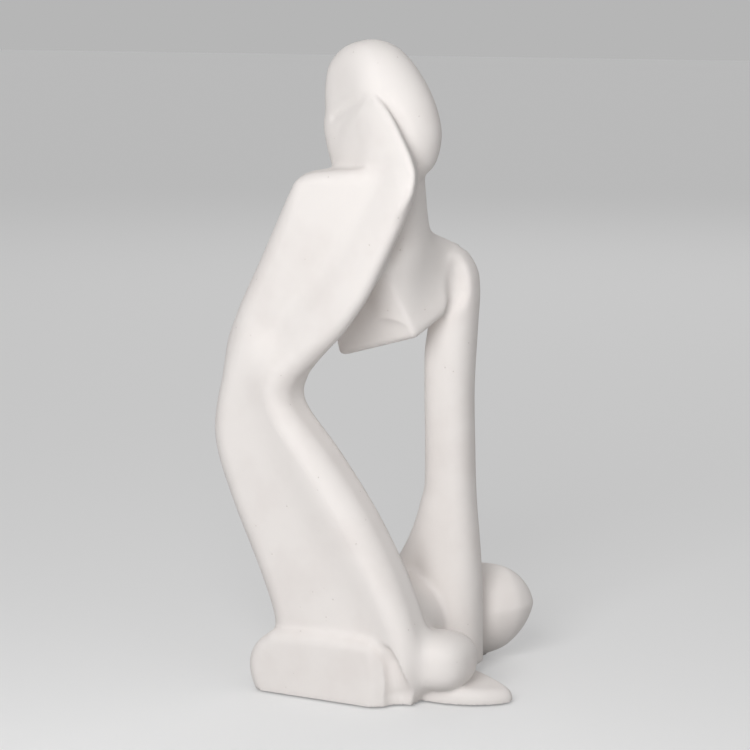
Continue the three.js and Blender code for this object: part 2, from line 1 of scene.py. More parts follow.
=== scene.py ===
# %% [markdown]
# # A thinking figurine, cast in matte off-white
# The real object is an abstract seated figure, about a hand's length and a half tall. It is cast
# in sections, pinned and bonded, and its seams are filled and sanded until they can't be seen.
# The frame gives each casting, pin and felt pad at its real place. This lesson models the skin
# that one sees on the castings, cuts it where the castings meet, and finishes every surface.

# %% Load the frame
import json
import math
import bpy
import numpy as np
from mathutils import Matrix, Vector


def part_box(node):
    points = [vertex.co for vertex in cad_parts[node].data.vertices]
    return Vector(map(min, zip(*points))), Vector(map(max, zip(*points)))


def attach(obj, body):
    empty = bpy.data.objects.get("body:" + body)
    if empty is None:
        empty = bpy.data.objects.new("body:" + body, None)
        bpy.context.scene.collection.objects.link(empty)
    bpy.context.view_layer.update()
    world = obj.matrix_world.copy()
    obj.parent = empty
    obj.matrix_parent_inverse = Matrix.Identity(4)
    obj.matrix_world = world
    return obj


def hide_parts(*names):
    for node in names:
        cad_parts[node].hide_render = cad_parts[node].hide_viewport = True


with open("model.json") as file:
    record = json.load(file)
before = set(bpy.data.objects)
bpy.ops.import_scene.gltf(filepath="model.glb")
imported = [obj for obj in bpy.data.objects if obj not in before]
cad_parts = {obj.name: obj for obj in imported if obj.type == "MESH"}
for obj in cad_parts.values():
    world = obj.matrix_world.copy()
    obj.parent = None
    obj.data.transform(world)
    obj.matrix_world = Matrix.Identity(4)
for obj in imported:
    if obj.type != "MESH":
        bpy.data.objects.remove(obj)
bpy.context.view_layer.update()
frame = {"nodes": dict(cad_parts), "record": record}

mm = 0.001
print("castings, pins and pads:", len(frame["nodes"]))

# %% [markdown]
# ## Modelling a smooth body as a field
# A cast figure has no straight edges to start from: limbs swell, flow into each other and turn
# sharp only where a thumb drew a crease. Subdivision surfaces could give that, but every joint
# between two limbs would need its own hand-made web of faces. A field is easier: a number for
# each point of space, negative inside the material, and limbs join wherever their fields meet.
# All sizes below are in millimetres. The figure faces -Y, and its own left side is +X.

# %% Field helpers
LINE_STEPS, EGG_SLOPE, ROUNDNESS = 10, 0.8, 2.4


def smooth_line(points, closed=True):
    """Points of a smooth line through the given ones."""
    points = np.array(points, float)
    if closed:
        padded = np.concatenate([points[-1:], points, points[:2]])
    else:
        padded = np.concatenate([points[:1], points, points[-1:]])
    t = np.linspace(0, 1, LINE_STEPS, endpoint=False)[:, None]
    line = []
    for i in range(len(padded) - 3):
        a, b, c, d = padded[i:i + 4]
        line.append(b + 0.5 * ((c - a) * t + (2 * a - 5 * b + 4 * c - d) * t**2
                               + (3 * b - a - 3 * c + d) * t**3))
    line.append(padded[-2:-1])
    return np.concatenate(line)


def squared_distance_to_stretch(u, v, a, b):
    """Squared distance from the points (u, v) to the stretch a-b."""
    eu, ev = b - a
    t = np.clip(((u - a[0]) * eu + (v - a[1]) * ev) / max(eu * eu + ev * ev, 1e-9), 0, 1)
    return (u - a[0] - eu * t)**2 + (v - a[1] - ev * t)**2


def line_distance(u, v, line):
    """Distance to an open line."""
    best = np.inf
    for a, b in zip(line[:-1], line[1:]):
        best = np.minimum(best, squared_distance_to_stretch(u, v, a, b))
    return np.sqrt(best)


def outline_distance(u, v, outline):
    """Distance to a closed outline, negative inside it."""
    inside = np.zeros(np.broadcast(u, v).shape, bool)
    for a, b in zip(outline[:-1], outline[1:]):
        if a[1] != b[1]:
            reaches = (a[1] > v) != (b[1] > v)
            inside ^= reaches & (u < a[0] + (b[0] - a[0]) * (v - a[1]) / (b[1] - a[1]))
    distance = line_distance(u, v, outline)
    return np.where(inside, -distance, distance)


def joined(a, b, blend):
    """Both bodies, with a fillet about as wide as blend."""
    h = np.clip(0.5 + 0.5 * (b - a) / blend, 0, 1)
    return b + (a - b) * h - blend * h * (1 - h)


def common(a, b, blend):
    """What both bodies hold, with a rounded edge."""
    return -joined(-a, -b, blend)


def slab(flat, across, edge):
    """Round-edged slab from an outline's distance and the distance past its two faces."""
    a, b = flat + edge, across + edge
    return (np.minimum(np.maximum(a, b), 0)
            + np.hypot(np.maximum(a, 0), np.maximum(b, 0)) - edge)


def egg(flat, across, radius):
    """Outline filled out like an egg; across is the share of the half thickness."""
    return (np.hypot(np.maximum(0, 1 + flat / radius), across) - 1) * radius * EGG_SLOPE


def rise(distance, width):
    """Soft rise of height 1 where the distance is 0."""
    return np.exp(-(distance / width)**2)


def step(value, low, high):
    """0 below low, 1 above high, soft between them."""
    t = np.clip((value - low) / (high - low), 0, 1)
    return t * t * (3 - 2 * t)


def cone(p, a, b, radii):
    """Ball swept from a to b while its radius changes."""
    a, b = np.array(a, float), np.array(b, float)
    e = b - a
    w = [p[i] - a[i] for i in range(3)]
    t = np.clip(sum(w[i] * e[i] for i in range(3)) / (e @ e), 0, 1)
    length = np.sqrt(sum((w[i] - e[i] * t)**2 for i in range(3)))
    return length - (radii[0] + (radii[1] - radii[0]) * t)


def swept(p, stations):
    """Ball swept along a chain of stations, each a place and a radius."""
    stretches = zip(stations[:-1], stations[1:])
    return np.minimum.reduce([cone(p, a[:3], b[:3], (a[3], b[3])) for a, b in stretches])


def past(p, at, normal):
    """Distance past a plane."""
    n = np.array(normal, float)
    n /= np.linalg.norm(n)
    return sum((p[i] - at[i]) * n[i] for i in range(3))


def between(rows, column, z):
    """Values of a station table between its rows, smooth across them."""
    heights = np.array([row[0] for row in rows], float)
    values = np.array([row[column] for row in rows], float)
    slopes = np.gradient(values, heights)
    z = np.clip(z, heights[0], heights[-1])
    i = np.clip(np.searchsorted(heights, z, side="right") - 1, 0, len(heights) - 2)
    span = heights[i + 1] - heights[i]
    t = (z - heights[i]) / span
    return ((2 * t**3 - 3 * t**2 + 1) * values[i] + (t**3 - 2 * t**2 + t) * span * slopes[i]
            + (3 * t**2 - 2 * t**3) * values[i + 1] + (t**3 - t**2) * span * slopes[i + 1])


def sections(rows, p):
    """Rounded sections from a table of height, centre X, centre Y, half width and half depth."""
    x, y, z = p
    centre_x, centre_y, half_x, half_y = (between(rows, column, z) for column in (1, 2, 3, 4))
    share = (np.abs((x - centre_x) / half_x)**ROUNDNESS
             + np.abs((y - centre_y) / half_y)**ROUNDNESS)**(1 / ROUNDNESS)
    ends = np.maximum(rows[0][0] - z, z - rows[-1][0])
    return np.maximum((share - 1) * np.minimum(half_x, half_y), ends)


print("a test of the slab at its middle, edge and outside:",
      [round(float(slab(np.float64(d), np.float64(-5), 2)), 2) for d in (-5, 0, 3)])

# %% [markdown]
# ## The raised arm and the raised leg
# Seen from the side, the forearm, the upper arm that leans on the knee, and the shin are one
# bent slab with rounded edges. Its outline is a smooth line through a few points, Y and Z. A
# shallow valley runs down between forearm and upper arm, and a soft ridge down the thigh.

# %% Raised slab
SLAB_OUTLINE = [
    (-40, 16), (-41.5, 30), (-48, 47), (-58.5, 70), (-66, 90), (-68.2, 102), (-67.3, 112),
    (-65, 122), (-62, 132), (-53.4, 152.5), (-43.9, 171), (-34, 191), (-30, 198.5), (-27.2, 203),
    (-23, 205.2), (-16, 206.6), (2, 208.5), (14, 211), (22, 205), (22, 195.6), (17.2, 184.5),
    (11.6, 173.5), (3.6, 158.6), (-6.4, 145), (-14.2, 137.5), (-24, 130.2), (-30, 125),
    (-32.6, 119), (-29.8, 112), (-16.3, 96.5), (0.2, 74), (13, 51.5), (21.5, 31), (23.4, 20),
    (22, 10), (20.6, 2), (16, -4), (0, -4), (-30, 2),
]
SLAB_NEAR, SLAB_FAR, SLAB_EDGE = 13.6, -8, 8.5
EDGE_DROP, ARM_RISE, WRIST_RISE, WRIST_HALF_DEPTH = 2.5, (130, 160), (188, 200), 6
HAND_START, HAND_LENGTH, HAND_TAPER = 202, 33, 8.2
ARM_LEAN, LEAN_RISE = 0.45, (122, 142)
VALLEY_DEPTH, VALLEY_WIDTH, RIDGE_HEIGHT, RIDGE_WIDTH = 3, 8, 3.2, 11.5
SHIN_DIP, SHIN_DIP_HEIGHT, SHIN_DIP_WIDTH = 0.8, 60, 30
ARM_VALLEY = [(7, 206), (3, 199), (-6, 185), (-13, 176), (-21.7, 165.5), (-30, 155), (-39, 144)]
THIGH_RIDGE = [(-36, 122), (-31, 111.5), (-22.5, 94.5), (-11.4, 76.6), (0.5, 59.3), (11.8, 42.8),
               (20.5, 30.5), (22.5, 20), (21, 8), (20, -4)]


def near_side(y, z):
    """Near face of leg, arm and hand. The hand thins towards its tip."""
    valley = line_distance(y, z, smooth_line(ARM_VALLEY, closed=False))
    thigh = line_distance(y, z, smooth_line(THIGH_RIDGE, closed=False))
    return (SLAB_NEAR - VALLEY_DEPTH * rise(valley, VALLEY_WIDTH)
            + RIDGE_HEIGHT * rise(thigh, RIDGE_WIDTH)
            - SHIN_DIP * rise(z - SHIN_DIP_HEIGHT, SHIN_DIP_WIDTH)
            - HAND_TAPER * np.clip((z - HAND_START) / HAND_LENGTH, 0, 1))


def leaning(p, outline, near):
    """Distance to an outline over Y and Z that moves towards -Y behind the arm's near face."""
    x, y, z = p
    flat = outline_distance(y, z, outline)
    lean = ARM_LEAN * step(z, *LEAN_RISE) * (near - x)
    just_short_of_the_last_row = y.shape[1] - 1.001
    place = (y - y[0, 0, 0] + lean) / (y[0, 1, 0] - y[0, 0, 0])
    place = np.clip(place, 0, just_short_of_the_last_row)
    row, column = place.astype(int), np.arange(z.shape[2])
    share = place - row
    return flat[0, row, column] * (1 - share) + flat[0, row + 1, column] * share


def raised_slab(p):
    x, y, z = p
    near = near_side(y, z)
    in_front = step(-y, -WRIST_HALF_DEPTH, WRIST_HALF_DEPTH)
    edge = SLAB_EDGE - EDGE_DROP * step(z, *ARM_RISE) - EDGE_DROP * step(z, *WRIST_RISE) * in_front
    outline = leaning(p, smooth_line(SLAB_OUTLINE), near)
    return slab(outline, np.maximum(x - near, SLAB_FAR - x), edge)


print("width of the raised limbs in mm:", SLAB_NEAR - SLAB_FAR)

# %% [markdown]
# ## Head and hand
# The head is an egg with a flattened side, where the flat hand lies along the cheek. A faint
# crease crosses the flat side. The hand tapers to a blade at the temple. Behind it a dark gap
# opens towards the neck, which is cut with a ball swept along the jaw.

# %% Head with hand
HAND_OUTLINE = [
    (-0.5, 237), (6.6, 232.6), (11.8, 227), (16.8, 219.8), (21.4, 212.4), (23.8, 206), (22.4, 198),
    (13.5, 189), (2, 188), (-12, 194), (-16, 206), (-15, 217), (-8, 230),
]
HEAD_OUTLINE = [
    (-22.5, 203), (-24.7, 208), (-27.2, 214), (-29, 219.5), (-29.6, 223.5), (-28.9, 229),
    (-29.3, 234), (-28.9, 241), (-26.4, 247.5), (-18.5, 253.6), (-8, 256.3), (1, 254.2),
    (8, 248.5), (14.6, 239.5), (19, 230), (20.9, 221), (19.7, 212.5), (16, 206), (6, 200),
    (-10, 199),
]
HEAD_MIDDLE, HEAD_HALF_WIDTH, HEAD_ROUNDING = -12, 16.6, 22
CHEEK, CHEEK_BLEND = ((-2.8, -16, 225), (0.88, -0.46, 0.05)), 5
HAND_FAR, HAND_EDGE, HAND_RAISED, HAND_BLEND, HAND_FILLET = -4, 2.5, 0.5, 5, 1.2
EAR_GAP = [
    (5, 2.5, 236.4, 0.8), (3.2, 7.6, 234, 1.6), (2.4, 13.6, 227.4, 2.2), (2, 18.6, 218.6, 2.9),
    (1, 21.2, 210, 3.8), (0, 22, 202, 5),
]
EAR_GAP_BLEND = 2
BROW = [(-21, 226.5), (-17.9, 228.1), (-11.3, 231.3), (-5.3, 233), (0, 234)]
BROW_DEPTH, BROW_WIDTH = 0.8, 1.8


def head_with_hand(p):
    x, y, z = p
    skull = egg(outline_distance(y, z, smooth_line(HEAD_OUTLINE)),
                (x - HEAD_MIDDLE) / HEAD_HALF_WIDTH, HEAD_ROUNDING)
    brow = line_distance(y, z, smooth_line(BROW, closed=False))
    cheek = past(p, *CHEEK) + BROW_DEPTH * rise(brow, BROW_WIDTH)
    skull = common(skull, cheek, CHEEK_BLEND)
    skull = common(skull, -swept(p, EAR_GAP), EAR_GAP_BLEND)
    near = near_side(y, z)
    outline = leaning(p, smooth_line(HAND_OUTLINE), near)
    hand = slab(outline, np.maximum(x - near, HAND_FAR - x), HAND_EDGE)
    hand = common(hand, cheek - HAND_RAISED, HAND_BLEND)
    return joined(skull, hand, HAND_FILLET)


print("width of the head in mm, before the cheek is cut:", 2 * HEAD_HALF_WIDTH)

# %% [markdown]
# ## Torso, neck and straight arm
# The bust is a shield seen from the front, and planes trim its back, flank, chest and underside.
# The neck flares into it. Neck and straight arm are rounded sections stacked along Z, the way a
# turner would sketch them. A swept ball presses a soft fold between bust and arm.

# %% Torso, neck and straight arm
TORSO_OUTLINE = [
    (-6, 178), (-3, 170), (-3, 157), (-5, 141), (-12, 124), (-24, 117), (-35, 124), (-42, 143),
    (-45, 160), (-47, 170), (-42, 177), (-30, 181), (-18, 182),
]
TORSO_FRONT, TORSO_BACK, TORSO_EDGE, NECK_FILLET = -31, 26, 11, 6
TORSO_PLANES = [
    ((-14, 5.6, 159), (0.4, 0.9, 0.17), 5),
    ((-10, 3.8, 159), (0.925, -0.166, -0.341), 2.2),
    ((-24, -21, 164), (0, -0.84, 0.54), 8),
    ((-16, 10, 140.3), (-0.343, 0.35, -0.872), 4),
]
SHOULDER_FOLD = [
    (-36.3, 17.4, 172, 0.8), (-36.4, 17.6, 167, 2.6), (-36.4, 17.7, 162, 3.6),
    (-36.4, 17.8, 157.3, 3.8), (-36.2, 17.2, 153.8, 3), (-35, 14.8, 150, 1.4),
]
NECK_SECTIONS = [
    (150, -25, -1, 9, 6), (160, -25, 0, 15, 9), (168, -24, 1.5, 18, 9.5), (174, -22.5, 3, 16, 9),
    (180, -19.5, 3.4, 12, 8.6), (188, -17, 4, 9.6, 8.4), (198, -16, 4, 8.4, 8.2),
    (212, -15.5, 3, 8, 8.2),
]
ARM_SECTIONS = [
    (0, -46, 11.5, 11, 12), (20, -46, 11.5, 10.8, 12), (40, -46.2, 11, 10.5, 12),
    (55, -46.5, 10.4, 10, 11.4), (70, -46.5, 10, 9.6, 10.4), (95, -46.3, 9.7, 9.3, 9.8),
    (120, -45.8, 9.6, 9.4, 9.8), (133, -45.5, 10.2, 9.6, 10), (145, -45.4, 11.6, 9.4, 9.4),
    (158, -45.4, 13.2, 8.9, 8.4), (165, -44.6, 13, 8.6, 8), (170, -43.5, 12, 7.4, 6.8),
    (173, -43, 11.8, 4.8, 4.4), (174.4, -43, 11.8, 1.5, 1.5),
]
ARM_FLARE, FLARE_FILLET = ((-46.5, 4, 66), (-48, -12, 37), (4.5, 6)), 10
UNDERSIDE, UNDERSIDE_SLOPE, SLOPE_START = 0.5, 0.4, 13


def underside(p):
    """Depth below the underside of the folded leg, which rises a little at the back."""
    return UNDERSIDE + UNDERSIDE_SLOPE * np.maximum(p[1] - SLOPE_START, 0) - p[2]


def torso(p):
    x, y, z = p
    middle, half = (TORSO_FRONT + TORSO_BACK) / 2, (TORSO_BACK - TORSO_FRONT) / 2
    outline = outline_distance(x, z, smooth_line(TORSO_OUTLINE))
    body = slab(outline, np.abs(y - middle) - half, TORSO_EDGE)
    for at, normal, blend in TORSO_PLANES:
        body = common(body, past(p, at, normal), blend)
    return joined(body, sections(NECK_SECTIONS, p), NECK_FILLET)


def straight_arm(p):
    arm = joined(sections(ARM_SECTIONS, p), cone(p, *ARM_FLARE), FLARE_FILLET)
    return np.maximum(arm, underside(p))


print("sections of neck and straight arm:", len(NECK_SECTIONS), len(ARM_SECTIONS))

# %% [markdown]
# ## Folded leg, hip and feet
# The folded leg lies flat like a pebble, with the straight arm standing on it. The hip is a
# squared ball behind the shin. One foot is a round bar along the ground, and a hollow parts its
# end from the shin. The other is a pointed sole that comes out under the hip.

# %% Legs and feet
FOLDED_OUTLINE = [
    (-87, 12), (-84.5, 26), (-76, 34), (-66, 33.5), (-60, 27), (-56, 18), (-46, 14), (-30, 14),
    (-14, 16), (2, 13), (6, -4), (-4, -18), (-24, -23), (-48, -25), (-66, -20), (-81, -6),
]
FOLDED_TOP, FOLDED_EDGE = 40.5, 19
REAR_FOOT_OUTLINE = [
    (0, 6), (0.5, 21), (-0.5, 34), (-4.5, 44), (-10.8, 50.8), (-16.5, 52), (-22.5, 46), (-30, 33),
    (-34, 20), (-32, 6), (-14, 0),
]
REAR_FOOT_TOP, REAR_FOOT_BOTTOM, REAR_FOOT_EDGE = 7.4, -6, 4
TOP_DROP, DROP_START = 0.08, 32
BAR_FOOT_OUTLINE = [
    (-43, -3), (-46.6, 1.5), (-48.8, 8), (-48.5, 14), (-46, 19), (-41.8, 22.8), (-36, 25.8),
    (-20, 27), (4, 27), (8.5, 25.2), (11, 20.5), (12, 12), (11.6, 4), (10.5, -3), (0, -5),
    (-30, -5),
]
BAR_FOOT_NEAR, BAR_FOOT_FAR, BAR_FOOT_EDGE = 18, -6.5, 5.5
FOOT_ARCH = [
    (18, 2, 28, 1), (17.2, 8.4, 26, 2), (15.8, 12.8, 22.4, 2.8), (14.6, 15, 18, 3.4),
    (14.2, 16.4, 12, 4), (15, 18.6, 5, 6.4), (16.4, 20, -4, 8.6),
]
HIP_CENTRE, HIP_RADII, HIP_SQUARENESS = (-6.5, 24.3, 16.2), (14.5, 14.3, 11), 2.7


def folded_leg(p):
    x, y, z = p
    outline = outline_distance(x, y, smooth_line(FOLDED_OUTLINE))
    return slab(outline, np.maximum(z - FOLDED_TOP, underside(p)), FOLDED_EDGE)


def rear_foot(p):
    x, y, z = p
    top = REAR_FOOT_TOP - TOP_DROP * np.maximum(y - DROP_START, 0)
    outline = outline_distance(x, y, smooth_line(REAR_FOOT_OUTLINE))
    return slab(outline, np.maximum(z - top, REAR_FOOT_BOTTOM - z), REAR_FOOT_EDGE)


def bar_foot(p):
    x, y, z = p
    outline = outline_distance(y, z, smooth_line(BAR_FOOT_OUTLINE))
    return slab(outline, np.maximum(x - BAR_FOOT_NEAR, BAR_FOOT_FAR - x), BAR_FOOT_EDGE)


def hip(p):
    shares = [np.abs((p[i] - HIP_CENTRE[i]) / HIP_RADII[i])**HIP_SQUARENESS for i in range(3)]
    return (sum(shares)**(1 / HIP_SQUARENESS) - 1) * min(HIP_RADII)


print("thickness of the folded leg in mm:", FOLDED_TOP - UNDERSIDE)

# %% [markdown]
# ## The whole figure
# Each limb joins the rest with its own fillet: tight at the feet, wide at the hip. The bottom
# is cut flat at the height of the felt pads, which the frame gives.

# %% Join the limbs
PAD_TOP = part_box("pad_toe")[1][2] / mm
BODY_FILLET, ARM_FILLET, HIP_FILLET = 2.5, 3, 5.5
FOLD_BLEND, LEG_FILLET, BAR_FOOT_FILLET, ARCH_BLEND, REAR_FOOT_FILLET = 3, 3, 2, 1, 1.2


def figure(p):
    body = joined(raised_slab(p), head_with_hand(p), BODY_FILLET)
    body = joined(body, torso(p), BODY_FILLET)
    body = joined(body, straight_arm(p), ARM_FILLET)
    body = common(body, -swept(p, SHOULDER_FOLD), FOLD_BLEND)
    body = joined(body, folded_leg(p), LEG_FILLET)
    body = joined(body, bar_foot(p), BAR_FOOT_FILLET)
    body = common(body, -swept(p, FOOT_ARCH), ARCH_BLEND)
    body = joined(body, hip(p), HIP_FILLET)
    body = joined(body, rear_foot(p), REAR_FOOT_FILLET)
    return np.maximum(body, PAD_TOP - p[2])


print("height of the felt pads in mm:", round(PAD_TOP, 2))

# %% [markdown]
# ## From the field to a mesh
# A net over the field gives the mesh: one point in every small cell that the surface crosses,
# and one four-sided face for every grid edge that it crosses. Compared with a voxel remesh of
# overlapping meshes, the points lie on the true surface, so creases stay where they were drawn.

# %% Net over a field
FIGURE_MIDDLE = (-34.6, -7.8, 0)
CELL = 0.9
ROOM_LOW, ROOM_HIGH = (-92, -76, -3), (26, 60, 262)
JUST_INSIDE = -0.01


def settled(values):
    """Fills the corner nearest the surface where inner and outer corners alternate round a
    cell's face, because the net would touch itself there."""
    changed = True
    while changed:
        changed = False
        for a, b in ((0, 1), (1, 2), (2, 0)):
            corner = []
            for da, db in ((0, 0), (1, 0), (1, 1), (0, 1)):
                cut = [slice(None)] * 3
                cut[a] = slice(da, values.shape[a] - 1 + da)
                cut[b] = slice(db, values.shape[b] - 1 + db)
                corner.append(values[tuple(cut)])
            inside = [c < 0 for c in corner]
            for outer in ((0, 2), (1, 3)):
                i, j = (1, 3) if outer == (0, 2) else (0, 2)
                diagonal = inside[i] & inside[j] & ~inside[outer[0]] & ~inside[outer[1]]
                if diagonal.any():
                    first = corner[outer[0]] <= corner[outer[1]]
                    corner[outer[0]][diagonal & first] = JUST_INSIDE
                    corner[outer[1]][diagonal & ~first] = JUST_INSIDE
                    changed = True
    return values


def net(values, axes):
    """Points and four-sided faces of the surface where the values change sign."""
    cells = tuple(n - 1 for n in values.shape)
    total, crossings = np.zeros(cells + (3,)), np.zeros(cells)
    for axis in range(3):
        others = [n for n in range(3) if n != axis]
        for i in (0, 1):
            for j in (0, 1):
                start, end = [None] * 3, [None] * 3
                start[axis], end[axis] = slice(0, -1), slice(1, None)
                for n, bit in zip(others, (i, j)):
                    start[n] = end[n] = slice(bit, values.shape[n] - 1 + bit)
                a, b = values[tuple(start)], values[tuple(end)]
                crossed = (a < 0) != (b < 0)
                offset = np.zeros(cells + (3,))
                offset[..., axis] = np.where(crossed, a / np.where(crossed, a - b, 1), 0)
                offset[..., others[0]], offset[..., others[1]] = i, j
                total += offset * crossed[..., None]
                crossings += crossed
    used = crossings > 0
    index = np.full(cells, -1)
    index[used] = np.arange(used.sum())
    corner = np.stack(np.nonzero(used), 1) + total[used] / crossings[used][:, None]
    low = np.array([axis[0] for axis in axes])
    points = low + corner * (axes[0][1] - axes[0][0])
    inside = values < 0
    faces = []
    for axis in range(3):
        u, v = (axis + 1) % 3, (axis + 2) % 3
        start, end = [slice(1, -1)] * 3, [slice(1, -1)] * 3
        start[axis], end[axis] = slice(0, -1), slice(1, None)
        a, b = inside[tuple(start)], inside[tuple(end)]
        place = np.argwhere(a != b)
        outward = a[tuple(place.T)]
        place += 1
        place[:, axis] -= 1
        ring = []
        for du, dv in ((-1, -1), (0, -1), (0, 0), (-1, 0)):
            neighbour = place.copy()
            neighbour[:, u] += du
            neighbour[:, v] += dv
            ring.append(index[tuple(neighbour.T)])
        ring = np.stack(ring, 1)
        ring[~outward] = ring[~outward][:, ::-1]
        faces.append(ring)
    return points, np.concatenate(faces)


axes = [np.arange(low, high + CELL, CELL) for low, high in zip(ROOM_LOW, ROOM_HIGH)]
x, y, z = axes[0][:, None, None], axes[1][None, :, None], axes[2][None, None, :]
values = settled(figure((x, y, z)))
points, faces = net(values, axes)
print("points and faces of the net:", len(points), len(faces))

# %% [markdown]
# ## Settle the points and read the normals
# The middle of a cell's crossings lies a little off the surface. Two short steps along the
# field's slope put each point on it. The slope also gives smooth normals, which the castings
# keep after they are cut, so the light doesn't show where they meet.

# %% Points on the surface
slopes = np.stack(np.gradient(values, CELL), -1)
SETTLING_TURNS, SMALLEST_SLOPE = 2, 0.2


def sampled(grid, where):
    """Values of a grid between its samples."""
    share = (where - np.array(ROOM_LOW)) / CELL
    corner = np.clip(share.astype(int), 0, np.array(grid.shape[:3]) - 2)
    share = np.clip(share - corner, 0, 1)
    result = 0
    for bits in np.ndindex(2, 2, 2):
        weight = np.prod(np.where(bits, share, 1 - share), axis=1)
        part = grid[tuple((corner + bits).T)]
        result = result + part * (weight if part.ndim == 1 else weight[:, None])
    return result


flat_base = np.abs(points[:, 2] - PAD_TOP) < CELL
for turn in range(SETTLING_TURNS):
    slope = sampled(slopes, points)
    steepness = np.maximum((slope**2).sum(1), SMALLEST_SLOPE)[:, None]
    move = sampled(values, points)[:, None] * slope / steepness
    points -= np.where(flat_base[:, None], 0, np.clip(move, -CELL / 2, CELL / 2))
points[:, 2] = np.where(flat_base & (points[:, 2] < PAD_TOP + CELL / 2), PAD_TOP, points[:, 2])


def mesh_object(name, points, faces):
    """New object in the scene from points in mm and faces."""
    mesh = bpy.data.meshes.new(name)
    mesh.from_pydata(((points - np.array(FIGURE_MIDDLE)) * mm).tolist(), [], faces.tolist())
    mesh.validate()
    made = bpy.data.objects.new(name, mesh)
    bpy.context.scene.collection.objects.link(made)
    return made


whole = mesh_object("whole_figure", points, faces)
print("height of the skin in mm:", round(whole.dimensions.z / mm, 1))

# %% [markdown]
# ## Cut the skin where the castings meet
# One mesh would look the same, but the real figure is six castings, and each is a piece of its
# own here, in the place of its node. The skin is cut with blocks at the seams' heights. The
# Boolean modifier's manifold solver is quick on a dense closed mesh, and both sides of a cut
# get the same edge, so no line shows.

# %% Seams
WRIST_SEAM, NECK_SEAM, KNEE_SEAM, ARM_BASE_SEAM = 207.5, 201, 119, 43.5
NEAR_SHOULDER_X, FAR_SHOULDER_X, HIP_SEAM_X = -7.6, -39, -9
HIP_POCKET_X, HIP_POCKET_Y, FOOT_SEAM_EDGE_X = -22.6, 8.9, 0.5
FOOT_SEAM_START, FOOT_SEAM_END = (5, 1), (40, 11)
FAR = 400


def block(low, high):
    """Temporary block between two corners."""
    corners = [(x, y, z) for x in (low[0], high[0]) for y in (low[1], high[1])
               for z in (low[2], high[2])]
    sides = [(0, 1, 3, 2), (4, 6, 7, 5), (0, 4, 5, 1), (2, 3, 7, 6), (0, 2, 6, 4), (1, 5, 7, 3)]
    return mesh_object("block", np.array(corners, float), np.array(sides))


def cut(piece, cutter):
    """Cuts a piece with a block, which is then thrown away."""
    modifier = piece.modifiers.new("cut", "BOOLEAN")
    modifier.solver, modifier.operation, modifier.object = "MANIFOLD", "DIFFERENCE", cutter
    bpy.context.view_layer.update()
    evaluated = piece.evaluated_get(bpy.context.evaluated_depsgraph_get())
    result = bpy.data.meshes.new_from_object(evaluated)
    piece.modifiers.clear()
    piece.data = result
    bpy.data.objects.remove(cutter)
    return piece


def casting(name, blocks):
    """Copy of the whole skin without what the blocks hold."""
    piece = bpy.data.objects.new(name, whole.data.copy())
    bpy.context.scene.collection.objects.link(piece)
    for cutter in blocks:
        cut(piece, cutter)
    return piece


def below(height, low_x=-FAR, high_x=FAR):
    return block((low_x, -FAR, -FAR), (high_x, FAR, height))


def above(height, low_x=-FAR, high_x=FAR):
    return block((low_x, -FAR, height), (high_x, FAR, FAR))


def right_of(x, low_z=-FAR, high_z=FAR):
    return block((-FAR, -FAR, low_z), (x, FAR, high_z))


def left_of(x, low_z=-FAR, high_z=FAR):
    return block((x, -FAR, low_z), (FAR, FAR, high_z))


def under_foot_seam(edge_x):
    """What lies under the sloping seam between hip and rear foot, on the right of an edge."""
    wedge = block((edge_x - FAR, -FAR, -FAR), (edge_x, FAR, 0))
    (start_y, start_z), (end_y, end_z) = FOOT_SEAM_START, FOOT_SEAM_END
    turn = Matrix.Rotation(math.atan2(end_z - start_z, end_y - start_y), 4, "X")
    middle = Vector(FIGURE_MIDDLE)
    place = Matrix.Translation((Vector((0, start_y, start_z)) - middle) * mm)
    wedge.data.transform(place @ turn @ Matrix.Translation(middle * mm))
    return wedge


def hip_room():
    """Room of the hip in the folded leg: everything behind the pocket, above the foot."""
    room = block((HIP_POCKET_X, HIP_POCKET_Y, -FAR), (FAR, FAR, FAR))
    return cut(room, under_foot_seam(FOOT_SEAM_EDGE_X))


ARM_MIDDLE_X, TORSO_CORNER, TORSO_INNER_X, TORSO_FLOOR = -20, 146, -35, 125
cutters = {
    "head_with_hand": [
        below(NECK_SEAM, high_x=NEAR_SHOULDER_X), below(WRIST_SEAM, low_x=NEAR_SHOULDER_X)],
    "torso": [
        above(NECK_SEAM), left_of(NEAR_SHOULDER_X), right_of(FAR_SHOULDER_X),
        below(TORSO_FLOOR), right_of(TORSO_INNER_X, high_z=TORSO_CORNER)],
    "raised_arm": [below(KNEE_SEAM), above(WRIST_SEAM), right_of(NEAR_SHOULDER_X)],
    "straight_arm": [
        below(ARM_BASE_SEAM), left_of(ARM_MIDDLE_X), left_of(FAR_SHOULDER_X, low_z=TORSO_CORNER),
        left_of(TORSO_INNER_X, low_z=TORSO_FLOOR, high_z=TORSO_CORNER)],
    "raised_leg": [
        above(KNEE_SEAM), right_of(ARM_MIDDLE_X, low_z=ARM_BASE_SEAM),
        block((-FAR, -FAR, -FAR), (HIP_SEAM_X, HIP_POCKET_Y, ARM_BASE_SEAM)),
        right_of(HIP_POCKET_X, high_z=ARM_BASE_SEAM), under_foot_seam(FOOT_SEAM_EDGE_X)],
    "folded_leg": [
        above(ARM_BASE_SEAM), left_of(FOOT_SEAM_EDGE_X),
        block((HIP_SEAM_X, -FAR, -FAR), (FAR, HIP_POCKET_Y, FAR)), hip_room()],
}
pieces = {node: casting("cast_" + node, blocks) for node, blocks in cutters.items()}
bpy.data.objects.remove(whole)
for node, piece in pieces.items():
    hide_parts(node)
    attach(piece, "root")
    print(f"{piece.name}: {len(piece.data.vertices)} points, in the place of {node}")

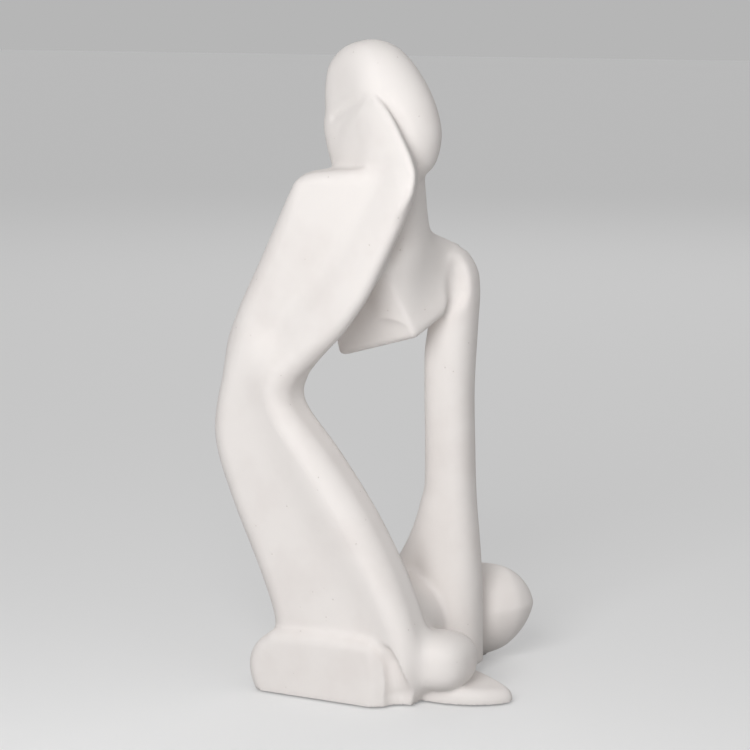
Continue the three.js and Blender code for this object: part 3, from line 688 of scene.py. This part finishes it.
# %% [markdown]
# ## Smooth normals on the skin, flat ones on the cuts
# A cut face points along its seam, away from the field's slope there. That tells the two apart.

# %% Normals
SMALLEST_MATCH = 0.75


def set_normals(piece):
    mesh = piece.data
    where = np.empty(len(mesh.vertices) * 3)
    mesh.vertices.foreach_get("co", where)
    slope = sampled(slopes, where.reshape(-1, 3) / mm + np.array(FIGURE_MIDDLE))
    slope /= np.linalg.norm(slope, axis=1)[:, None] + 1e-9
    flat = np.empty(len(mesh.polygons) * 3)
    mesh.polygons.foreach_get("normal", flat)
    sizes = np.empty(len(mesh.polygons), int)
    mesh.polygons.foreach_get("loop_total", sizes)
    flat = np.repeat(flat.reshape(-1, 3), sizes, axis=0)
    corners = np.empty(len(mesh.loops), int)
    mesh.loops.foreach_get("vertex_index", corners)
    smooth = slope[corners]
    skin = (smooth * flat).sum(1) > SMALLEST_MATCH
    mesh.shade_smooth()
    mesh.normals_split_custom_set(np.where(skin[:, None], smooth, flat).tolist())
    return skin.mean()


shares = [round(float(set_normals(piece)), 2) for piece in pieces.values()]
print("share of the corners on the skin:", shares)

# %% [markdown]
# ## Shader maths
# A finish is a small sum: a colour, a little mottling, a few pits. Written with nodes alone it
# is hard to read, so one small class lets Python's own signs add the Math nodes.

# %% Finish helpers


class Value:
    """A number that changes over the surface."""

    def __init__(self, nodes, socket):
        self.nodes, self.socket = nodes, socket

    def maths(self, operation, *others):
        inputs = {i: v for i, v in enumerate((self,) + others)}
        return self.nodes.node("ShaderNodeMath", {"operation": operation}, inputs)

    def __add__(self, other):
        return self.maths("ADD", other)

    def __mul__(self, other):
        return self.maths("MULTIPLY", other)

    def __sub__(self, other):
        return self.maths("SUBTRACT", other)

    def __rsub__(self, other):
        return (self * -1) + other

    __radd__ = __add__
    __rmul__ = __mul__


class Nodes:
    """Nodes of a material or a world, whose looks come from one shader."""

    def __init__(self, tree, shader):
        self.tree, self.shader = tree, tree.nodes[shader]

    def node(self, kind, settings=None, inputs=None, output=0):
        """Adds a node, sets it up, and gives one of its outputs."""
        made = self.tree.nodes.new(kind)
        for name, value in (settings or {}).items():
            setattr(made, name, value)
        for name, value in (inputs or {}).items():
            if isinstance(value, Value):
                self.tree.links.new(value.socket, made.inputs[name])
            else:
                made.inputs[name].default_value = value
        return Value(self, made.outputs[output])

    def feed(self, socket, value):
        """Links a value to a socket of the shader."""
        self.tree.links.new(value.socket, self.shader.inputs[socket])

    def seen(self):
        """1 where it is seen, also in a gloss or through glass, and 0 where it only lights."""
        names = ("Is Camera Ray", "Is Glossy Ray", "Is Transmission Ray")
        camera_ray, *others = [self.node("ShaderNodeLightPath", output=name) for name in names]
        return camera_ray.maths("MAXIMUM", others[0]).maths("MAXIMUM", others[1])


class Finish(Nodes):
    """A material with a Principled shader."""

    def __init__(self, name, **values):
        self.material = bpy.data.materials.new(name)
        self.material.use_nodes = True
        super().__init__(self.material.node_tree, "Principled BSDF")
        for socket, value in values.items():
            self.shader.inputs[socket.replace("_", " ")].default_value = value

    def place(self):
        """Position on the object, in metres."""
        return self.node("ShaderNodeTexCoord", output="Object")

    def noise(self, scale, detail=2, roughness=0.5):
        """Soft noise from 0 to 1, with about scale spots in a metre."""
        return self.node("ShaderNodeTexNoise", None, {
            "Vector": self.place(), "Scale": scale, "Detail": detail, "Roughness": roughness})

    def bump(self, height, distance):
        """Normals of a relief that is height times distance deep, in metres."""
        return self.node("ShaderNodeBump", None, {
            "Height": height, "Distance": distance, "Strength": 1})

    def mixed(self, share, first, second):
        """Colour between two colours."""
        inputs = {0: share, 6: first, 7: second}
        return self.node("ShaderNodeMix", {"data_type": "RGBA"}, inputs, output=2)

    def ramp(self, value, low, high):
        """0 below low, 1 above high, soft between them."""
        return self.node("ShaderNodeMapRange", {"interpolation_type": "SMOOTHSTEP"}, {
            "Value": value, "From Min": low, "From Max": high})


print("finish helpers ready")

# %% [markdown]
# ## The cast finish
# The figure is cast in a pale, dull material with a touch of warmth, sanded by hand. Close up
# it has a fine tooth, faint sanding waves and a few pin-sized pits where bubbles opened. The
# colour is almost even, with cloudy patches a little darker than the rest. The pits are also
# painted a darker colour, which is painted shade inside them.

# %% Cast finish
CAST_PALE, CAST_CLOUD = (0.83, 0.79, 0.765, 1), (0.76, 0.71, 0.685, 1)
# Colour of the painted shade inside the pits: the cast tone, darkened.
PAINTED_PIT_SHADE = (0.5, 0.44, 0.41, 1)
WAVE_HEIGHT, TOOTH_HEIGHT, PIT_DEPTH = 0.00006, 0.00002, 0.00012


def cast_finish():
    finish = Finish("cast_off_white", Roughness=0.72)
    finish.shader.inputs["Specular IOR Level"].default_value = 0.35
    clouds = finish.ramp(finish.noise(scale=38, detail=3, roughness=0.55), low=0.42, high=0.72)
    tooth = finish.noise(scale=2600, roughness=0.6)
    waves = finish.noise(scale=160)
    cells = finish.node("ShaderNodeTexVoronoi", None, {"Vector": finish.place(), "Scale": 190})
    chosen = finish.ramp(finish.noise(scale=75, detail=0), low=0.5, high=0.56)
    # Where the pits lie. This mask carves them as relief and also carries their painted shade.
    pits_and_painted_pit_shade = (1 - finish.ramp(cells, low=0.035, high=0.075)) * chosen
    colour = finish.mixed(clouds * 0.55, CAST_PALE, CAST_CLOUD)
    # Painted shade: the colour is darkened inside the pits, where shade falls.
    colour = finish.mixed(pits_and_painted_pit_shade * 0.4, colour, PAINTED_PIT_SHADE)
    finish.feed("Base Color", colour)
    finish.feed("Roughness", 0.68 + tooth * 0.2)
    height = waves * WAVE_HEIGHT + tooth * TOOTH_HEIGHT - pits_and_painted_pit_shade * PIT_DEPTH
    finish.feed("Normal", finish.bump(height, distance=1))
    return finish.material


cast_material = cast_finish()
for piece in pieces.values():
    piece.data.materials.clear()
    piece.data.materials.append(cast_material)
print("cast finish on", len(pieces), "pieces")

# %% [markdown]
# ## Steel pins and felt pads
# They are out of sight once the figure is bonded and standing, but they are real parts, so
# they get real finishes: a drawn steel with fine scratches along it, and a pressed felt.

# %% Steel and felt


def steel_finish():
    finish = Finish("drawn_steel", Metallic=1.0)
    scratches = finish.noise(scale=1900, detail=3, roughness=0.7)
    stains = finish.noise(scale=220)
    finish.feed("Base Color", finish.mixed(stains, (0.55, 0.56, 0.57, 1), (0.66, 0.67, 0.68, 1)))
    finish.feed("Roughness", 0.26 + scratches * 0.18)
    finish.feed("Normal", finish.bump(scratches, distance=0.00002))
    return finish.material


def felt_finish():
    finish = Finish("pressed_felt", Roughness=0.95)
    fibres = finish.noise(scale=3200, detail=4, roughness=0.75)
    tufts = finish.noise(scale=700)
    finish.feed("Base Color", finish.mixed(fibres, (0.1, 0.098, 0.095, 1), (0.21, 0.205, 0.2, 1)))
    finish.feed("Normal", finish.bump(fibres * 0.6 + tufts * 0.4, distance=0.0003))
    return finish.material


finishes = {"steel": steel_finish(), "felt": felt_finish()}
slots = {row["node"]: row["material_slot"] for row in frame["record"]["subparts"]}
for node, material_slot in slots.items():
    if material_slot in finishes:
        part = frame["nodes"][node]
        part.data.materials.clear()
        part.data.materials.append(finishes[material_slot])
print("pins and pads finished:", sum(slot in finishes for slot in slots.values()))

# %% [markdown]
# ## Floor, light and camera
# The figure stands on a plain pale floor that reaches the horizon. A backdrop close behind it
# would hide it from the far side, so there is none. Where floor and world are seen they are
# lifted to the same pale grey, which adds no soft light to the figure. A soft key lamp stands
# close by its left side, so the near limbs come out lighter than the far ones. Wide, weaker lamps
# fill in from behind and from the far side, and the world lifts the shadows. The camera looks at
# the figure's left side from a little behind and above.

# %% Floor
FLOOR_REACH, FLOOR_GREY = 8000, 0.6
SEEN_LIFT = 0.24
corners = FLOOR_REACH * np.array([(-1, -1, 0), (1, -1, 0), (1, 1, 0), (-1, 1, 0)])
floor = mesh_object("floor", corners.astype(float), np.array([(0, 1, 2, 3)]))
pale = Finish("pale_floor", Roughness=0.9, Base_Color=(FLOOR_GREY, FLOOR_GREY, FLOOR_GREY, 1),
              Emission_Strength=1.0)
pale.feed("Emission Color", pale.seen() * SEEN_LIFT)
floor.data.materials.append(pale.material)
print("floor in metres:", [round(v, 1) for v in floor.dimensions])

# %% Lamps and world
LAMPS = {
    "key": {"azimuth": 103, "elevation": 24, "distance": 0.6, "size": 0.36, "power": 2.5},
    "fill": {"azimuth": 150, "elevation": 40, "distance": 1.9, "size": 1.2, "power": 1.5},
    "far": {"azimuth": 290, "elevation": 35, "distance": 1.9, "size": 1.2, "power": 3.2},
}
WORLD_LEVEL, AIM_HEIGHT = 0.38, 128
aim = (Vector((0, 0, AIM_HEIGHT)) - Vector(FIGURE_MIDDLE)) * mm


def seen_from(azimuth, elevation, distance):
    """Place and turn of something that looks at the aim, from angles in degrees."""
    azimuth, elevation = math.radians(azimuth), math.radians(elevation)
    level = math.cos(elevation)
    back = Vector((math.sin(azimuth) * level, -math.cos(azimuth) * level, math.sin(elevation)))
    return aim + back * distance, back.to_track_quat("Z", "Y")


for name, lamp in LAMPS.items():
    light = bpy.data.lights.new(name, "AREA")
    light.shape, light.size, light.energy = "DISK", lamp["size"], lamp["power"]
    made = bpy.data.objects.new(name, light)
    made.rotation_mode = "QUATERNION"
    made.location, made.rotation_quaternion = seen_from(
        lamp["azimuth"], lamp["elevation"], lamp["distance"])
    bpy.context.scene.collection.objects.link(made)

world = bpy.data.worlds.new("studio")
world.use_nodes = True
studio = Nodes(world.node_tree, "Background")
studio.shader.inputs["Color"].default_value = (1, 1, 1, 1)
as_pale_as_the_floor = SEEN_LIFT + WORLD_LEVEL * (FLOOR_GREY - 1)
studio.feed("Strength", WORLD_LEVEL + studio.seen() * as_pale_as_the_floor)
bpy.context.scene.world = world
bpy.context.scene.view_settings.view_transform = "Standard"
print("lamps:", list(LAMPS))

# %% Camera
CAMERA_AZIMUTH, CAMERA_ELEVATION, CAMERA_DISTANCE, CAMERA_LENS = 118, 9, 0.95, 118
camera = bpy.data.objects.new("camera", bpy.data.cameras.new("camera"))
camera.data.lens, camera.data.sensor_width = CAMERA_LENS, 36
camera.rotation_mode = "QUATERNION"
camera.location, camera.rotation_quaternion = seen_from(
    CAMERA_AZIMUTH, CAMERA_ELEVATION, CAMERA_DISTANCE)
bpy.context.scene.collection.objects.link(camera)
bpy.context.scene.camera = camera
print("camera at", [round(v, 3) for v in camera.location])
